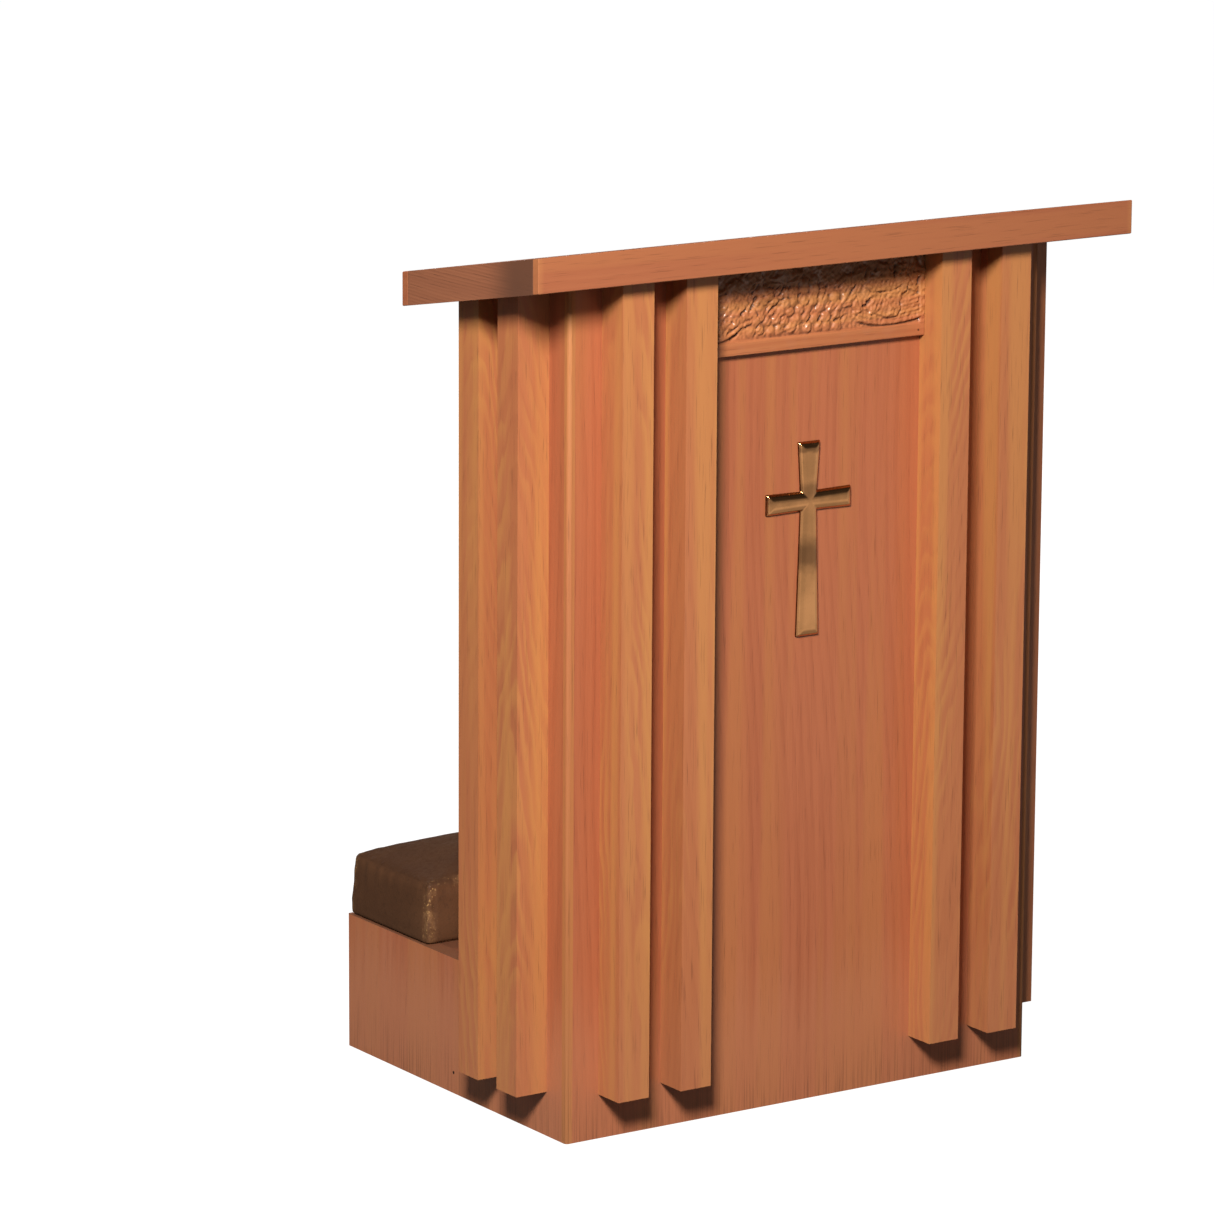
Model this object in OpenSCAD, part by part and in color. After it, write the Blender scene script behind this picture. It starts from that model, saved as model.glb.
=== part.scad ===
// Kneeling prayer desk: a battened box with a thick sloping desk top,
// a carved frieze and brass cross at the front, an open book shelf at the
// back, and a low padded kneeler that shares the box's side panels.
// +X is to the right and -Y towards the carved front. The origin is on the
// floor, at the middle of the overall footprint.

/* [Box] */
// Width over the two side panels
body_w = 596; // [560:4:640]
// Depth from the front panel to the back of the kneeler
base_d = 432; // [410:2:470]
// Height of the kneeler box
kneeler_h = 150; // [140:2:170]
// Thickness of the veneered panels
panel_t = 18; // [16:1:20]
// Side of the rounded bead at each front corner
bead = 8; // [6:1:8]

/* [Battens] */
// Side of the square battens
batten = 38; // [34:1:42]
// Clear gap beside and between the front battens
front_gap = 40; // [36:1:44]
// Clear gap beside and between the side battens
side_gap = 36; // [34:1:38]
// Height of the battens' lower ends above the floor
batten_lift = 48; // [30:2:60]

/* [Desk top] */
// Height of the top's front edge
desk_h = 944; // [920:4:980]
// Thickness of the top, measured plumb
desk_t = 36; // [30:1:40]
// Depth of the top, measured level
desk_d = 256; // [250:2:290]
// Fall of the top from front to back
desk_drop = 48; // [20:2:60]
// Overhang in front of the front panel
front_over = 60; // [50:2:70]
// Overhang beyond each side panel
side_over = 76; // [50:2:90]
// Thickness of the solid lippings round the top
lipping_t = 10; // [6:1:14]

/* [Frieze and cross] */
// Height of the frieze's lower edge
frieze_z = 813; // [780:1:830]
// Thickness of the frieze board
frieze_t = 8; // [6:1:10]
// Radius of one carved grape
grape_r = 6; // [4:0.5:7]
// Height of the cross's foot
cross_z = 506; // [440:2:540]
// Height of the cross
cross_h = 207; // [160:1:220]
// Width of the cross over its arms
cross_w = 108; // [80:1:120]
// Thickness of the cross
cross_t = 6; // [4:0.5:8]

/* [Shelf and back] */
// Height of the book shelf's underside
shelf_z = 690; // [640:2:720]
// Thickness of the back panel
back_t = 12; // [9:1:15]
// Depth of the housings that hold the shelf
housing = 6; // [4:1:8]

/* [Pad] */
// Clear gap between the upright and the pad
pad_gap = 90; // [70:2:100]
// Inset of the pad from the kneeler's edges
pad_inset = 4; // [2:1:8]
// Height of the pad's side walls
pad_edge_h = 67; // [55:1:75]
// Rise of the pad's crown above its side walls
pad_crown = 21; // [12:1:26]
// Thickness of the pad's base board
pad_board_t = 12; // [9:1:15]
// Thickness of the pad's cover
cover_t = 2; // [1:0.5:3]

/* [Hidden] */

$fn = 48;
eps = 0.5;                                    // overshoot of every cutting tool
half_w = body_w / 2;
inner_w = half_w - panel_t;                   // inner faces of the side panels
total_d = front_over + base_d;
front_y = front_over - total_d / 2;           // front face of the front panel
panel_back_y = front_y + panel_t;
upright_d = 2 * batten + 3 * side_gap;
back_y = front_y + upright_d;                 // back of the upright box
rear_y = front_y + base_d;                    // back of the kneeler
desk_y = front_y - front_over;                // front edge of the desk top
desk_half_w = half_w + side_over;
slope = desk_drop / desk_d;

front_batten_x = [front_gap, 2 * front_gap + batten];     // from each side panel's face
side_batten_y = [side_gap, 2 * side_gap + batten];        // from the front panel's face
bay_half = half_w - front_batten_x[1] - batten;           // half of the plain middle bay

post_w = 25;                                  // corner posts and cleats
cleat_w = 20;
cleat_h = 24;
back_cleat_w = 18;
edge_lip = 6;                                 // lippings of the upright and the boards
board_lip = 8;
rail_h = 60;
rail_gap = 115;                               // from the upright to the middle rail
rail_y = back_y + rail_gap;
board_z = kneeler_h - panel_t;                // underside of the kneeler board

screw_r = 2;                                  // wood screws and their pockets
head_r = 4;
head_h = 3;
pocket_r = 5;
pocket = 5;
batten_bite = 25;                             // thread length in a batten
batten_screw_z = [110, 380, 650];
desk_bite = 24;
desk_pocket = 9;                              // deeper pockets, because the top slopes
desk_screw_y = [front_y + 70, front_y + 140]; // in the side cleats
desk_screw_x = [-200, 0, 200];                // in the front cleat
cleat_screw_x = [-150, 150];
cleat_screw_y = front_y + 105;
back_cleat_screw_z = [220, 420, 620];
back_screw_z = [190, 400, 650];
pad_screw_x = [-210, 0, 210];
pad_screw_y = [rear_y - 96, rear_y - 40];    // two rows under the pad
pad_bite = 9;
cleat_bite = 10;
back_bite = 14;

dowel_r = 4;
dowel_in_panel = 12;
dowel_in_rail = 20;
dowel_inset = 15;                             // dowels from a rail's edges

pin_r = 1;
pin_bite = 10;
pin_inset = 8;                                // from the ends of the frieze
pin_z = [6, 64];                              // above the frieze's lower edge
stud_r = 2.5;
stud_len = 12;
stud_z = [cross_z + 45, cross_z + 165];       // one below and one above the arms

cross_foot_h = 144;                           // from the foot to the arms' centre line
cross_arm_z = cross_z + cross_foot_h;
cross_neck = 21;                              // bar widths: at the crossing, top, foot, arms
cross_top_w = 28;
cross_foot_w = 29;
cross_arm_w = 22.5;
cross_bevel = 3.5;

pad_r = 14;                                   // plan radius of the pad's corners
pad_end = 80;                                 // length of the fall at each end
pad_y0 = back_y + pad_gap;
pad_y1 = rear_y - pad_inset;
pad_half_w = half_w - pad_inset;

panel_colour = [0.75, 0.44, 0.29];
solid_colour = [0.80, 0.53, 0.29];
desk_colour = [0.72, 0.41, 0.27];
inner_colour = [0.82, 0.68, 0.48];
ply_colour = [0.76, 0.62, 0.42];
brass_colour = [0.80, 0.60, 0.28];
steel_colour = [0.62, 0.62, 0.64];
pad_colour = [0.28, 0.19, 0.14];
foam_colour = [0.90, 0.86, 0.70];

// ---- shared shapes ----

// Height of the desk top's underside above a point at depth y
function under(y) = desk_h - desk_t - slope * (y - desk_y);

// A box from corner a to corner b
module block(a, b) {
    translate(a) cube(b - a);
}

// A (y, z) outline drawn out from x0 to x1
module across(x0, x1) {
    translate([x0, 0, 0]) rotate([90, 0, 90]) linear_extrude(x1 - x0) children();
}

// An upright piece whose top is cut to the slope of the desk top
module upright(x0, x1, y0, y1, z0) {
    across(x0, x1) polygon([[y0, z0], [y1, z0], [y1, under(y1)], [y0, under(y0)]]);
}

// A strip of the desk top, or of a cleat under it, parallel to the slope
module sloping(x0, x1, y0, y1, low, high) {
    across(x0, x1) polygon([
        [y0, under(y0) + low], [y1, under(y1) + low],
        [y1, under(y1) + high], [y0, under(y0) + high]
    ]);
}

// The same child on the left, and mirrored on the right
module both_sides() {
    children();
    mirror([1, 0, 0]) children();
}

// A wood screw along +Z, with its head's seat at z = 0
module screw(bite) {
    cylinder(h = bite, r = screw_r);
    translate([0, 0, -head_h]) cylinder(h = head_h, r = head_r);
}

// The hole of such a screw, with a pocket for its head and driver
module screw_hole(bite, depth = pocket) {
    translate([0, 0, -eps]) cylinder(h = bite + eps, r = screw_r);
    translate([0, 0, -depth - eps]) cylinder(h = depth + eps, r = pocket_r);
}

// Directions for anything built along +Z
module to_front() { rotate([90, 0, 0]) children(); }
module to_left() { rotate([0, -90, 0]) children(); }

// ---- places of the fasteners ----

// Screws through the panels into the battens, on the left half and mirrored
module at_batten_screws() {
    both_sides() for (z = batten_screw_z) {
        for (x = front_batten_x)
            translate([-half_w + x + batten / 2, panel_back_y - pocket, z]) to_front() children();
        for (y = side_batten_y)
            translate([-inner_w - pocket, front_y + y + batten / 2, z]) to_left() children();
    }
}

// Screws up through the cleats into the desk top
module at_desk_screws() {
    both_sides() for (y = desk_screw_y)
        translate([-inner_w + cleat_w / 2, y, under(y) - cleat_h + pocket]) children();
    for (x = desk_screw_x) {
        y = panel_back_y + cleat_w / 2;
        translate([x, y, under(y) - cleat_h + pocket]) children();
    }
}

// Screws through the cleats into the panels
module at_cleat_screws() {
    for (x = cleat_screw_x) {
        y = panel_back_y + cleat_w - pocket;
        translate([x, y, under(y) - cleat_h / 2]) to_front() children();
    }
    both_sides() {
        translate([-inner_w + cleat_w - pocket, cleat_screw_y, under(cleat_screw_y) - cleat_h / 2])
            to_left() children();
        for (z = back_cleat_screw_z)
            translate([-inner_w + back_cleat_w - pocket, back_y - back_t - back_cleat_w / 2, z])
                to_left() children();
    }
}

// Countersunk screws through the back panel into its cleats
module at_back_screws() {
    both_sides() for (z = back_screw_z)
        translate([-inner_w + back_cleat_w / 2, back_y, z]) to_front() children();
}

// Screws up through the kneeler board into the pad's board
module at_pad_screws() {
    for (x = pad_screw_x, y = pad_screw_y) translate([x, y, board_z + pocket]) children();
}

// Dowels of the two rails and the end panel, with z = 0 on the side panel's inner face
module at_dowels() {
    rails = [
        [back_y - panel_t / 2, board_z - rail_h], [rail_y + panel_t / 2, board_z - rail_h],
        [rear_y - panel_t / 2, board_z - rail_h]
    ];
    both_sides() for (r = rails, z = [dowel_inset, rail_h - dowel_inset])
        translate([-inner_w, r[0], r[1] + z]) to_left() children();
}

module at_frieze_pins() {
    for (x = [-1, 1], z = pin_z) translate([x * (bay_half - pin_inset), front_y - frieze_t, frieze_z + z])
        rotate([-90, 0, 0]) children();
}

module at_studs() {
    for (z = stud_z) translate([0, front_y, z]) rotate([-90, 0, 0]) children();
}

// Tools that cut the holes of each group
module batten_holes() { at_batten_screws() screw_hole(panel_t - pocket + batten_bite, pocket); }
module desk_holes() { at_desk_screws() screw_hole(cleat_h - pocket + desk_bite, desk_pocket); }
module cleat_holes() { at_cleat_screws() screw_hole(cleat_w - pocket + cleat_bite, pocket); }
module pad_holes() { at_pad_screws() screw_hole(panel_t - pocket + pad_bite, pocket); }
module back_head() { cylinder(h = head_h, r1 = head_r, r2 = screw_r); }
module back_holes() {
    at_back_screws() {
        cylinder(h = back_t + back_bite, r = screw_r);
        back_head();
    }
}
module dowel_holes() {
    at_dowels() translate([0, 0, -dowel_in_rail])
        cylinder(h = dowel_in_rail + dowel_in_panel, r = dowel_r);
}
module pin_holes() { at_frieze_pins() cylinder(h = frieze_t + pin_bite, r = pin_r); }

// ---- the box ----

module front_panel() {
    color(panel_colour) difference() {
        upright(-half_w + bead, half_w - bead, front_y, panel_back_y, 0);
        batten_holes();
        cleat_holes();
        pin_holes();
        at_studs() cylinder(h = stud_len, r = stud_r);
    }
}

// One L-shaped side: the upright's wall and the kneeler's wall in one board
module side_panel() {
    color(panel_colour) difference() {
        union() {
            across(-half_w, -inner_w) polygon([
                [panel_back_y, 0], [rear_y, 0], [rear_y, kneeler_h],
                [back_y - edge_lip, kneeler_h], [back_y - edge_lip, under(back_y - edge_lip)],
                [panel_back_y, under(panel_back_y)]
            ]);
            upright(-half_w, -half_w + bead, front_y + bead, panel_back_y, 0);
        }
        block([-inner_w - housing, panel_back_y - eps, shelf_z], [0, back_y, shelf_z + panel_t]);
        batten_holes();
        cleat_holes();
        dowel_holes();
    }
}

module left_side_panel() { side_panel(); }
module right_side_panel() { mirror([1, 0, 0]) side_panel(); }

// Solid strip let into the front corner, with its outer arris rounded
module corner_bead() {
    r = bead / 2;
    color(solid_colour) intersection() {
        upright(-half_w, -half_w + bead, front_y, front_y + bead, 0);
        translate([-half_w, front_y, 0]) linear_extrude(desk_h) {
            translate([r, 0]) square([bead - r, bead]);
            translate([0, r]) square([bead, bead - r]);
            translate([r, r]) circle(r);
        }
    }
}

module corner_bead_left() { corner_bead(); }
module corner_bead_right() { mirror([1, 0, 0]) corner_bead(); }

// Glue post in the front corner, just clear of the floor
module corner_post() {
    color(inner_colour)
        upright(-inner_w, -inner_w + post_w, panel_back_y, panel_back_y + post_w, batten_lift / 4);
}

module corner_post_left() { corner_post(); }
module corner_post_right() { mirror([1, 0, 0]) corner_post(); }

// ---- battens ----

module front_batten(x) {
    color(solid_colour) difference() {
        upright(x, x + batten, front_y - batten, front_y, batten_lift);
        batten_holes();
    }
}

module side_batten(y) {
    color(solid_colour) difference() {
        upright(-half_w - batten, -half_w, front_y + y, front_y + y + batten, batten_lift);
        batten_holes();
    }
}

module front_batten_left_outer() { front_batten(-half_w + front_batten_x[0]); }
module front_batten_left_inner() { front_batten(-half_w + front_batten_x[1]); }
module front_batten_right_inner() { mirror([1, 0, 0]) front_batten_left_inner(); }
module front_batten_right_outer() { mirror([1, 0, 0]) front_batten_left_outer(); }
module side_batten_left_front() { side_batten(side_batten_y[0]); }
module side_batten_left_rear() { side_batten(side_batten_y[1]); }
module side_batten_right_front() { mirror([1, 0, 0]) side_batten_left_front(); }
module side_batten_right_rear() { mirror([1, 0, 0]) side_batten_left_rear(); }

module batten_screws() {
    color(steel_colour) at_batten_screws() screw(panel_t - pocket + batten_bite);
}

// ---- frieze and cross ----

// Rows of grapes that narrow to a point, as (x, z) from the bunch's thick end
grape_pitch = 1.75 * grape_r;                 // grapes in a row touch, and nest in the next row
grape_rows = [7, 8, 8, 7, 5];                 // from the bottom row up
row_pitch = grape_pitch * sqrt(3) / 2;
bunch = [-92, 18];                            // first grape, from the bay's middle and the frieze's foot
grape_sink = 2;                               // depth of the grapes' centres in the board

module grapes() {
    for (i = [0 : len(grape_rows) - 1], k = [0 : grape_rows[i] - 1])
        translate([(k + (i % 2) / 2) * grape_pitch, 0, i * row_pitch]) sphere(grape_r, $fn = 24);
}

// Five-lobed vine leaf, with its stalk at the origin and its tip along +X
leaf_r = 24;
leaf_t = 3;
leaves = [[-112, 42, 150], [46, 44, 35], [92, 40, -10]];  // stalk's x and z, and the leaf's turn
function leaf_edge(a) = leaf_r * (0.62 + 0.24 * cos(2.5 * a) * cos(2.5 * a) + 0.14 * cos(a));
module leaf() {
    polygon([for (a = [-165 : 10 : 165]) leaf_edge(a) * [cos(a), sin(a)]]);
}

module carved_frieze() {
    face_y = front_y - frieze_t;
    color(solid_colour) difference() {
        union() {
            upright(-bay_half, bay_half, face_y, front_y, frieze_z);
            translate([bunch[0], face_y + grape_sink, frieze_z + bunch[1]]) grapes();
            for (l = leaves) translate([l[0], face_y, frieze_z + l[1]]) to_front() rotate(l[2])
                linear_extrude(leaf_t) leaf();
        }
        pin_holes();
    }
}

module frieze_pins() {
    color(steel_colour) at_frieze_pins() cylinder(h = frieze_t + pin_bite, r = pin_r);
}

// One flaring arm from the crossing: a trapezium with bevelled sides and end
module cross_arm(length, end_w) {
    module face(inset, thick) {
        linear_extrude(thick) polygon([
            [0, -cross_neck / 2 + inset], [0, cross_neck / 2 - inset],
            [length - inset, end_w / 2 - inset], [length - inset, -end_w / 2 + inset]
        ]);
    }
    hull() {
        face(0, cross_t - cross_bevel);
        face(cross_bevel, cross_t);
    }
}

module brass_cross() {
    arms = [
        [90, cross_z + cross_h - cross_arm_z, cross_top_w], [270, cross_arm_z - cross_z, cross_foot_w],
        [0, cross_w / 2, cross_arm_w], [180, cross_w / 2, cross_arm_w]
    ];
    color(brass_colour) translate([0, front_y, cross_arm_z]) to_front()
        for (a = arms) rotate(a[0]) cross_arm(a[1], a[2]);
}

module cross_studs() {
    color(brass_colour) at_studs() cylinder(h = stud_len, r = stud_r);
}

// ---- desk top ----

module desk_top_core() {
    color(desk_colour) difference() {
        sloping(-desk_half_w + lipping_t, desk_half_w - lipping_t,
            desk_y + lipping_t, desk_y + desk_d - lipping_t, 0, desk_t);
        desk_holes();
    }
}

module desk_lipping_front() {
    color(desk_colour) sloping(-desk_half_w, desk_half_w, desk_y, desk_y + lipping_t, 0, desk_t);
}

module desk_lipping_rear() {
    color(desk_colour)
        sloping(-desk_half_w, desk_half_w, desk_y + desk_d - lipping_t, desk_y + desk_d, 0, desk_t);
}

module desk_lipping_left() {
    color(desk_colour) sloping(-desk_half_w, -desk_half_w + lipping_t,
        desk_y + lipping_t, desk_y + desk_d - lipping_t, 0, desk_t);
}

module desk_lipping_right() { mirror([1, 0, 0]) desk_lipping_left(); }

module desk_cleat_front() {
    color(inner_colour) difference() {
        sloping(-inner_w + post_w, inner_w - post_w, panel_back_y, panel_back_y + cleat_w, -cleat_h, 0);
        desk_holes();
        cleat_holes();
    }
}

module desk_cleat_left() {
    color(inner_colour) difference() {
        sloping(-inner_w, -inner_w + cleat_w, panel_back_y + post_w, back_y - board_lip, -cleat_h, 0);
        desk_holes();
        cleat_holes();
    }
}

module desk_cleat_right() { mirror([1, 0, 0]) desk_cleat_left(); }

module desk_screws() {
    color(steel_colour) at_desk_screws() screw(cleat_h - pocket + desk_bite);
}

module cleat_screws() {
    color(steel_colour) at_cleat_screws() screw(cleat_w - pocket + cleat_bite);
}

// ---- shelf and back ----

module book_shelf() {
    x = inner_w + housing;
    color(panel_colour) difference() {
        block([-x, panel_back_y, shelf_z], [x, back_y - board_lip, shelf_z + panel_t]);
        both_sides() block([-x - eps, panel_back_y - eps, shelf_z - eps],
            [-inner_w + post_w, panel_back_y + post_w, shelf_z + panel_t + eps]);
    }
}

module shelf_lipping() {
    color(solid_colour)
        block([-inner_w, back_y - board_lip, shelf_z], [inner_w, back_y, shelf_z + panel_t]);
}

module back_panel() {
    color(panel_colour) difference() {
        block([-inner_w, back_y - back_t, kneeler_h], [inner_w, back_y, shelf_z]);
        back_holes();
    }
}

module back_cleat_left() {
    y = back_y - back_t - back_cleat_w;
    color(inner_colour) difference() {
        block([-inner_w, y, kneeler_h], [-inner_w + back_cleat_w, y + back_cleat_w, shelf_z]);
        cleat_holes();
        back_holes();
    }
}

module back_cleat_right() { mirror([1, 0, 0]) back_cleat_left(); }

module back_panel_screws() {
    color(brass_colour) at_back_screws() {
        cylinder(h = back_t + back_bite, r = screw_r);
        back_head();
    }
}

// Solid edge on the back of each side panel, above the kneeler
module upright_lipping_left() {
    color(solid_colour) upright(-half_w, -inner_w, back_y - edge_lip, back_y, kneeler_h);
}

module upright_lipping_right() { mirror([1, 0, 0]) upright_lipping_left(); }

// ---- kneeler ----

module kneeler_board() {
    color(panel_colour) difference() {
        block([-inner_w, back_y - back_t - back_cleat_w, board_z],
            [inner_w, rear_y - board_lip, kneeler_h]);
        pad_holes();
    }
}

module kneeler_lipping() {
    color(solid_colour)
        block([-inner_w, rear_y - board_lip, board_z], [inner_w, rear_y, kneeler_h]);
}

module kneeler_end_panel() {
    color(panel_colour) difference() {
        block([-inner_w, rear_y - panel_t, 0], [inner_w, rear_y, board_z]);
        dowel_holes();
    }
}

module kneeler_rail(y) {
    color(inner_colour) difference() {
        block([-inner_w, y, board_z - rail_h], [inner_w, y + panel_t, board_z]);
        dowel_holes();
    }
}

module kneeler_rail_front() { kneeler_rail(back_y - panel_t); }
module kneeler_rail_middle() { kneeler_rail(rail_y); }

// Two cleats under one end of the board, before and behind the middle rail
module kneeler_cleats_left() {
    spans = [[back_y, rail_y], [rail_y + panel_t, rear_y - panel_t]];
    color(inner_colour) for (s = spans)
        block([-inner_w, s[0], board_z - cleat_w], [-inner_w + cleat_w, s[1], board_z]);
}

module kneeler_cleats_right() { mirror([1, 0, 0]) kneeler_cleats_left(); }

module rail_dowels() {
    color(ply_colour) at_dowels() translate([0, 0, -dowel_in_rail])
        cylinder(h = dowel_in_rail + dowel_in_panel, r = dowel_r);
}

// ---- pad ----

// Plan of the pad with round corners, drawn in by an inset
module pad_plan(inset) {
    w = 2 * (pad_half_w - inset);
    d = pad_y1 - pad_y0 - 2 * inset;
    r = pad_r - inset;
    translate([0, (pad_y0 + pad_y1) / 2]) {
        square([w - 2 * r, d], center = true);
        square([w, d - 2 * r], center = true);
        for (x = [-1, 1], y = [-1, 1])
            translate([x * (w / 2 - r), y * (d / 2 - r)]) circle(r);
    }
}

// The crowned body of the pad from height z0, drawn in by an inset
module pad_body(inset, z0) {
    half_d = (pad_y1 - pad_y0) / 2;
    crown_r = (half_d * half_d + pad_crown * pad_crown) / (2 * pad_crown);
    edge_z = kneeler_h + pad_edge_h - inset;
    top_z = edge_z + pad_crown;
    intersection() {
        translate([0, 0, z0]) linear_extrude(top_z - z0) pad_plan(inset);
        translate([-half_w, (pad_y0 + pad_y1) / 2, top_z - crown_r]) rotate([0, 90, 0])
            cylinder(h = body_w, r = crown_r, $fn = 96);
        translate([0, rear_y, 0]) to_front() linear_extrude(base_d) polygon([
            [-pad_half_w, 0], [pad_half_w, 0], [pad_half_w, edge_z],
            [pad_half_w - pad_end, top_z], [-pad_half_w + pad_end, top_z], [-pad_half_w, edge_z]
        ]);
    }
}

module pad_board() {
    color(ply_colour) difference() {
        translate([0, 0, kneeler_h]) linear_extrude(pad_board_t) pad_plan(cover_t);
        pad_holes();
    }
}

module pad_foam() { color(foam_colour) pad_body(cover_t, kneeler_h + pad_board_t); }

module pad_cover() {
    color(pad_colour) difference() {
        pad_body(0, kneeler_h);
        pad_body(cover_t, kneeler_h - eps);
    }
}

module pad_screws() {
    color(steel_colour) at_pad_screws() screw(panel_t - pocket + pad_bite);
}

front_panel();
left_side_panel();
right_side_panel();
corner_bead_left();
corner_bead_right();
corner_post_left();
corner_post_right();
front_batten_left_outer();
front_batten_left_inner();
front_batten_right_inner();
front_batten_right_outer();
side_batten_left_front();
side_batten_left_rear();
side_batten_right_front();
side_batten_right_rear();
batten_screws();
carved_frieze();
frieze_pins();
brass_cross();
cross_studs();
desk_top_core();
desk_lipping_front();
desk_lipping_rear();
desk_lipping_left();
desk_lipping_right();
desk_cleat_front();
desk_cleat_left();
desk_cleat_right();
desk_screws();
cleat_screws();
book_shelf();
shelf_lipping();
back_panel();
back_cleat_left();
back_cleat_right();
back_panel_screws();
upright_lipping_left();
upright_lipping_right();
kneeler_board();
kneeler_lipping();
kneeler_end_panel();
kneeler_rail_front();
kneeler_rail_middle();
kneeler_cleats_left();
kneeler_cleats_right();
rail_dowels();
pad_board();
pad_foam();
pad_cover();
pad_screws();
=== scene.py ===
"""Looks of the kneeling prayer desk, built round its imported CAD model.

Lengths are in metres and angles in degrees unless a name says otherwise. The carved front faces -Y.
"""
import math

import bmesh
import bpy
import numpy as np
from mathutils import Matrix, Vector


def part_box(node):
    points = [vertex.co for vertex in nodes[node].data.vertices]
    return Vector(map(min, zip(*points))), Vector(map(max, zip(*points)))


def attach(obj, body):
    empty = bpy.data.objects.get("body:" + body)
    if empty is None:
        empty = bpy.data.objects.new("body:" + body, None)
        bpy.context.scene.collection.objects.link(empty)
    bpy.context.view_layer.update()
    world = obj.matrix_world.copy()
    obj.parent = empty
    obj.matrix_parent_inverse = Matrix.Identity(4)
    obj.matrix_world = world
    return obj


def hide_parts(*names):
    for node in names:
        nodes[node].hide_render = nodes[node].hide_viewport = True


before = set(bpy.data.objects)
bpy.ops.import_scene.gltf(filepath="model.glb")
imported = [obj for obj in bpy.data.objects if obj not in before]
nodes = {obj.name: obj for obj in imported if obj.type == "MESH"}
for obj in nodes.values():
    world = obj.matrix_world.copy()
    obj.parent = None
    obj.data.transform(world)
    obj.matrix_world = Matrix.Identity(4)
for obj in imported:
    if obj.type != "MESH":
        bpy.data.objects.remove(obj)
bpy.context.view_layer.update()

MM = 0.001
KEY_LEVEL = 1.5                                 # brightness of white paper in the key light
PAPER_WHITE = 0.99                              # what the camera sees round the object
ROOM_LIGHT = 0.18                               # soft light from all round

# ---- places read from the frame ----

front_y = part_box("front_panel")[0].y            # front face of the front panel
kneeler_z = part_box("kneeler_board")[1].z        # the pad stands on this face
edge_lo, edge_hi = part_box("desk_lipping_front")
rear_edge_lo, rear_edge_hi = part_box("desk_lipping_rear")
desk_fall = (edge_hi.z - rear_edge_hi.z) / (rear_edge_lo.y - edge_lo.y)


def desk_underside(y):
    """Height of the sloping desk top's underside at depth y."""
    return edge_lo.z + desk_fall * (edge_hi.y - y)


# ---- camera and light ----

def add_camera():
    """The camera looks from the front left, slightly above, with a long lens."""
    azimuth, elevation, roll = 33.72, 12.35, 0.31
    distance = 6.502
    target = Vector((-0.126, 0.0, 0.5166))
    turn = (
        Matrix.Rotation(math.radians(-azimuth), 4, "Z")
        @ Matrix.Rotation(math.radians(90 - elevation), 4, "X")
        @ Matrix.Rotation(math.radians(roll), 4, "Z")
    )
    back = turn @ Vector((0, 0, 1))
    data = bpy.data.cameras.new("camera")
    data.lens = 182.0
    data.sensor_width = 36.0
    data.clip_end = 50
    camera = bpy.data.objects.new("camera", data)
    bpy.context.scene.collection.objects.link(camera)
    camera.matrix_world = Matrix.Translation(target + distance * back) @ turn
    bpy.context.scene.camera = camera


def add_area_light(name, place, aim, size, power, colour=(1, 1, 1), glossy=True):
    """A square soft lamp at place, aimed at a point."""
    data = bpy.data.lights.new(name, "AREA")
    data.shape = "SQUARE"
    data.size = size
    data.energy = power
    data.color = colour
    lamp = bpy.data.objects.new(name, data)
    bpy.context.scene.collection.objects.link(lamp)
    lamp.location = place
    lamp.rotation_euler = (Vector(aim) - Vector(place)).to_track_quat("-Z", "Y").to_euler()
    lamp.visible_glossy = glossy


def ray_strength(tree, seen, mirrored, scattered):
    """A strength that differs for what the camera sees, what shines in gloss, and soft light."""
    path = tree.nodes.new("ShaderNodeLightPath")
    gloss = tree.nodes.new("ShaderNodeMix")
    camera = tree.nodes.new("ShaderNodeMix")
    tree.links.new(path.outputs["Is Glossy Ray"], gloss.inputs["Factor"])
    tree.links.new(path.outputs["Is Camera Ray"], camera.inputs["Factor"])
    gloss.inputs["A"].default_value = scattered
    if isinstance(mirrored, bpy.types.NodeSocket):
        tree.links.new(mirrored, gloss.inputs["B"])
    else:
        gloss.inputs["B"].default_value = mirrored
    tree.links.new(gloss.outputs["Result"], camera.inputs["A"])
    camera.inputs["B"].default_value = seen
    return camera.outputs["Result"]


def map_range(tree, value, low, high, out_low, out_high):
    """Carries value in a straight line from between low and high to between out_low and out_high."""
    made = tree.nodes.new("ShaderNodeMapRange")
    tree.links.new(value, made.inputs["Value"])
    for socket, number in zip(made.inputs[1:5], (low, high, out_low, out_high)):
        socket.default_value = number
    return made.outputs[0]


def add_world():
    """White paper all round to the eye, a dim room for soft light, darker overhead in reflections."""
    world = bpy.data.worlds.new("surroundings")
    bpy.context.scene.world = world
    world.use_nodes = True
    tree = world.node_tree
    back = tree.nodes["Background"]
    back.inputs["Color"].default_value = (1.0, 1.0, 1.0, 1)
    place = tree.nodes.new("ShaderNodeTexCoord")
    split = tree.nodes.new("ShaderNodeSeparateXYZ")
    tree.links.new(place.outputs["Generated"], split.inputs[0])
    up = map_range(tree, split.outputs["Z"], -0.05, 0.3, 0.22, 0.05)
    tree.links.new(ray_strength(tree, PAPER_WHITE, up, ROOM_LIGHT), back.inputs["Strength"])


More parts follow.
